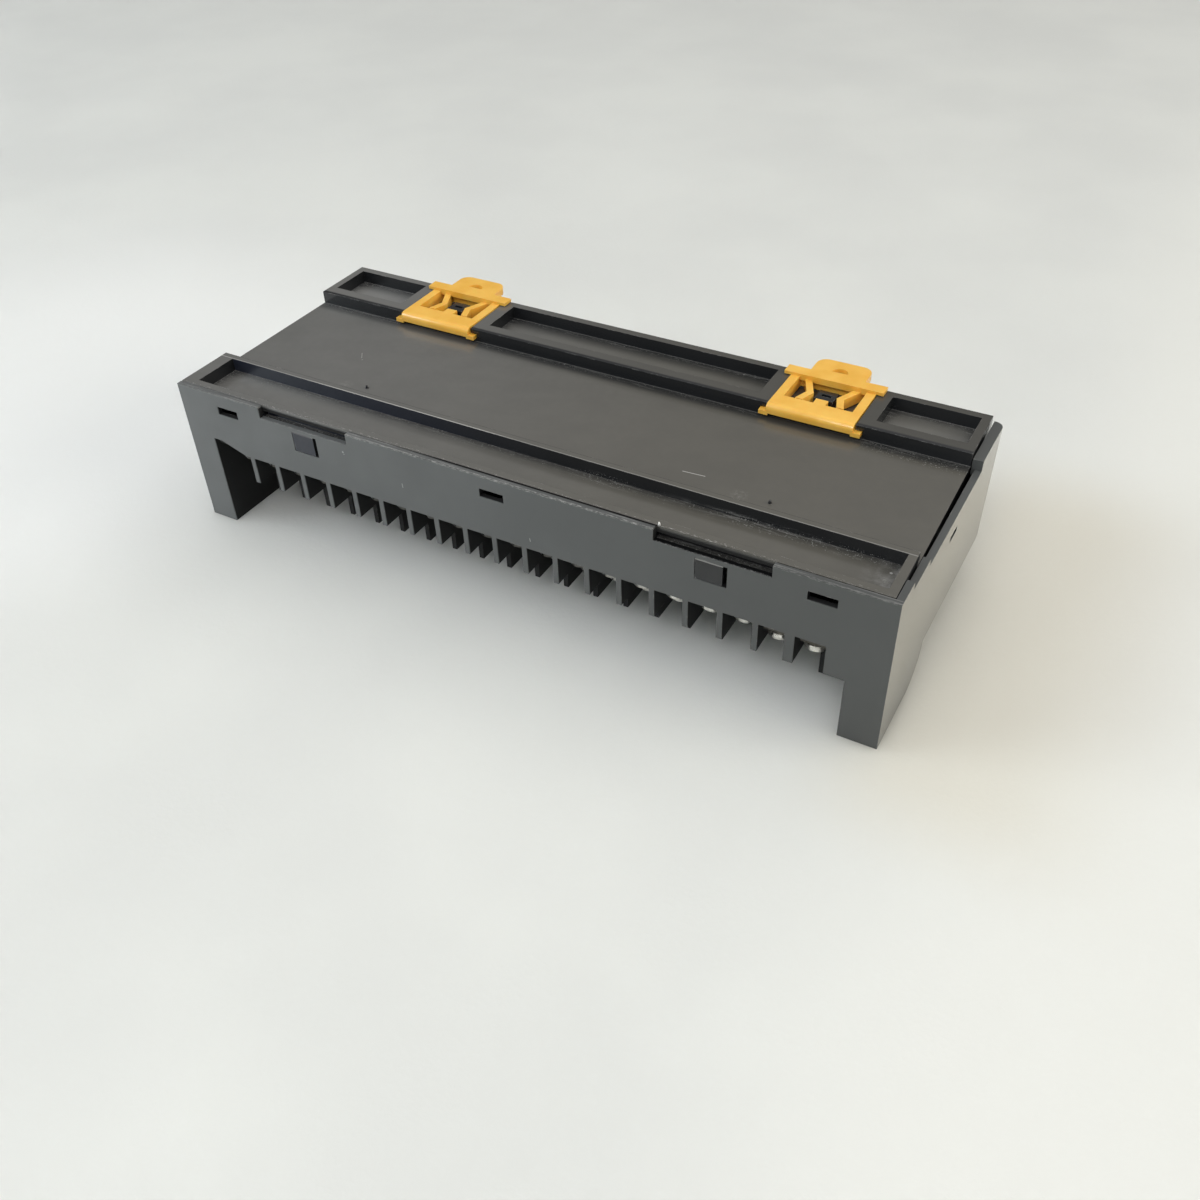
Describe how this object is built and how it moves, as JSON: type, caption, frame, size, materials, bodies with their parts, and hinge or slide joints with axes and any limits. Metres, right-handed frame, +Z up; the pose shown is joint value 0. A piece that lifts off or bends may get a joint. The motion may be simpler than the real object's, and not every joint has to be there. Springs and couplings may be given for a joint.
{
  "type": "interface terminal block",
  "caption": "Black rail-mounted interface block with two stepped rows of screw terminals, a pin header for a flat cable and sliding orange clips that lock it to the rail",
  "frame": {"origin": "centre of the footprint on the ground, under the middle of the block and its pull tabs", "axes": "+X along the block, +Y from the front wall with the terminals to the clips' pull tabs, +Z up, out of the rail side"},
  "size_m": [0.176, 0.0764, 0.0385],
  "materials": {
    "housing_black": "black moulded plastic, satin, with worn edges",
    "base_black": "black moulded plastic, satin, dusty in the recesses",
    "clip_orange": "yellow-orange moulded plastic, slightly translucent",
    "board_green": "green solder resist on glass epoxy",
    "socket_black": "black moulded plastic",
    "pin_gold": "thin gold plating",
    "plated_brass": "tin plated brass",
    "plated_steel": "nickel plated steel",
    "spring_steel": "plated spring steel"
  },
  "bodies": {
    "block": {"housing": "housing_black", "rail_base": "base_black", "circuit_board": "board_green", "board_screws": "plated_steel", "socket_shroud": "socket_black", "socket_pins_front": "pin_gold", "socket_pins_rear": "pin_gold", "lower_terminal_plates": "plated_brass", "lower_square_washers": "plated_steel", "lower_spring_washers": "spring_steel", "lower_terminal_screws": "plated_steel", "upper_terminal_plates": "plated_brass", "upper_square_washers": "plated_steel", "upper_spring_washers": "spring_steel", "upper_terminal_screws": "plated_steel"},
    "left_clip": {"clip_left": "clip_orange"},
    "right_clip": {"clip_right": "clip_orange"}
  },
  "joints": [
    {"name": "left_clip_slide", "type": "slide", "parent": "block", "child": "left_clip", "axis": [0, 1, 0], "range_m": [-0.0026, 0]},
    {"name": "right_clip_slide", "type": "slide", "parent": "block", "child": "right_clip", "axis": [0, 1, 0], "range_m": [-0.0026, 0]}
  ]
}
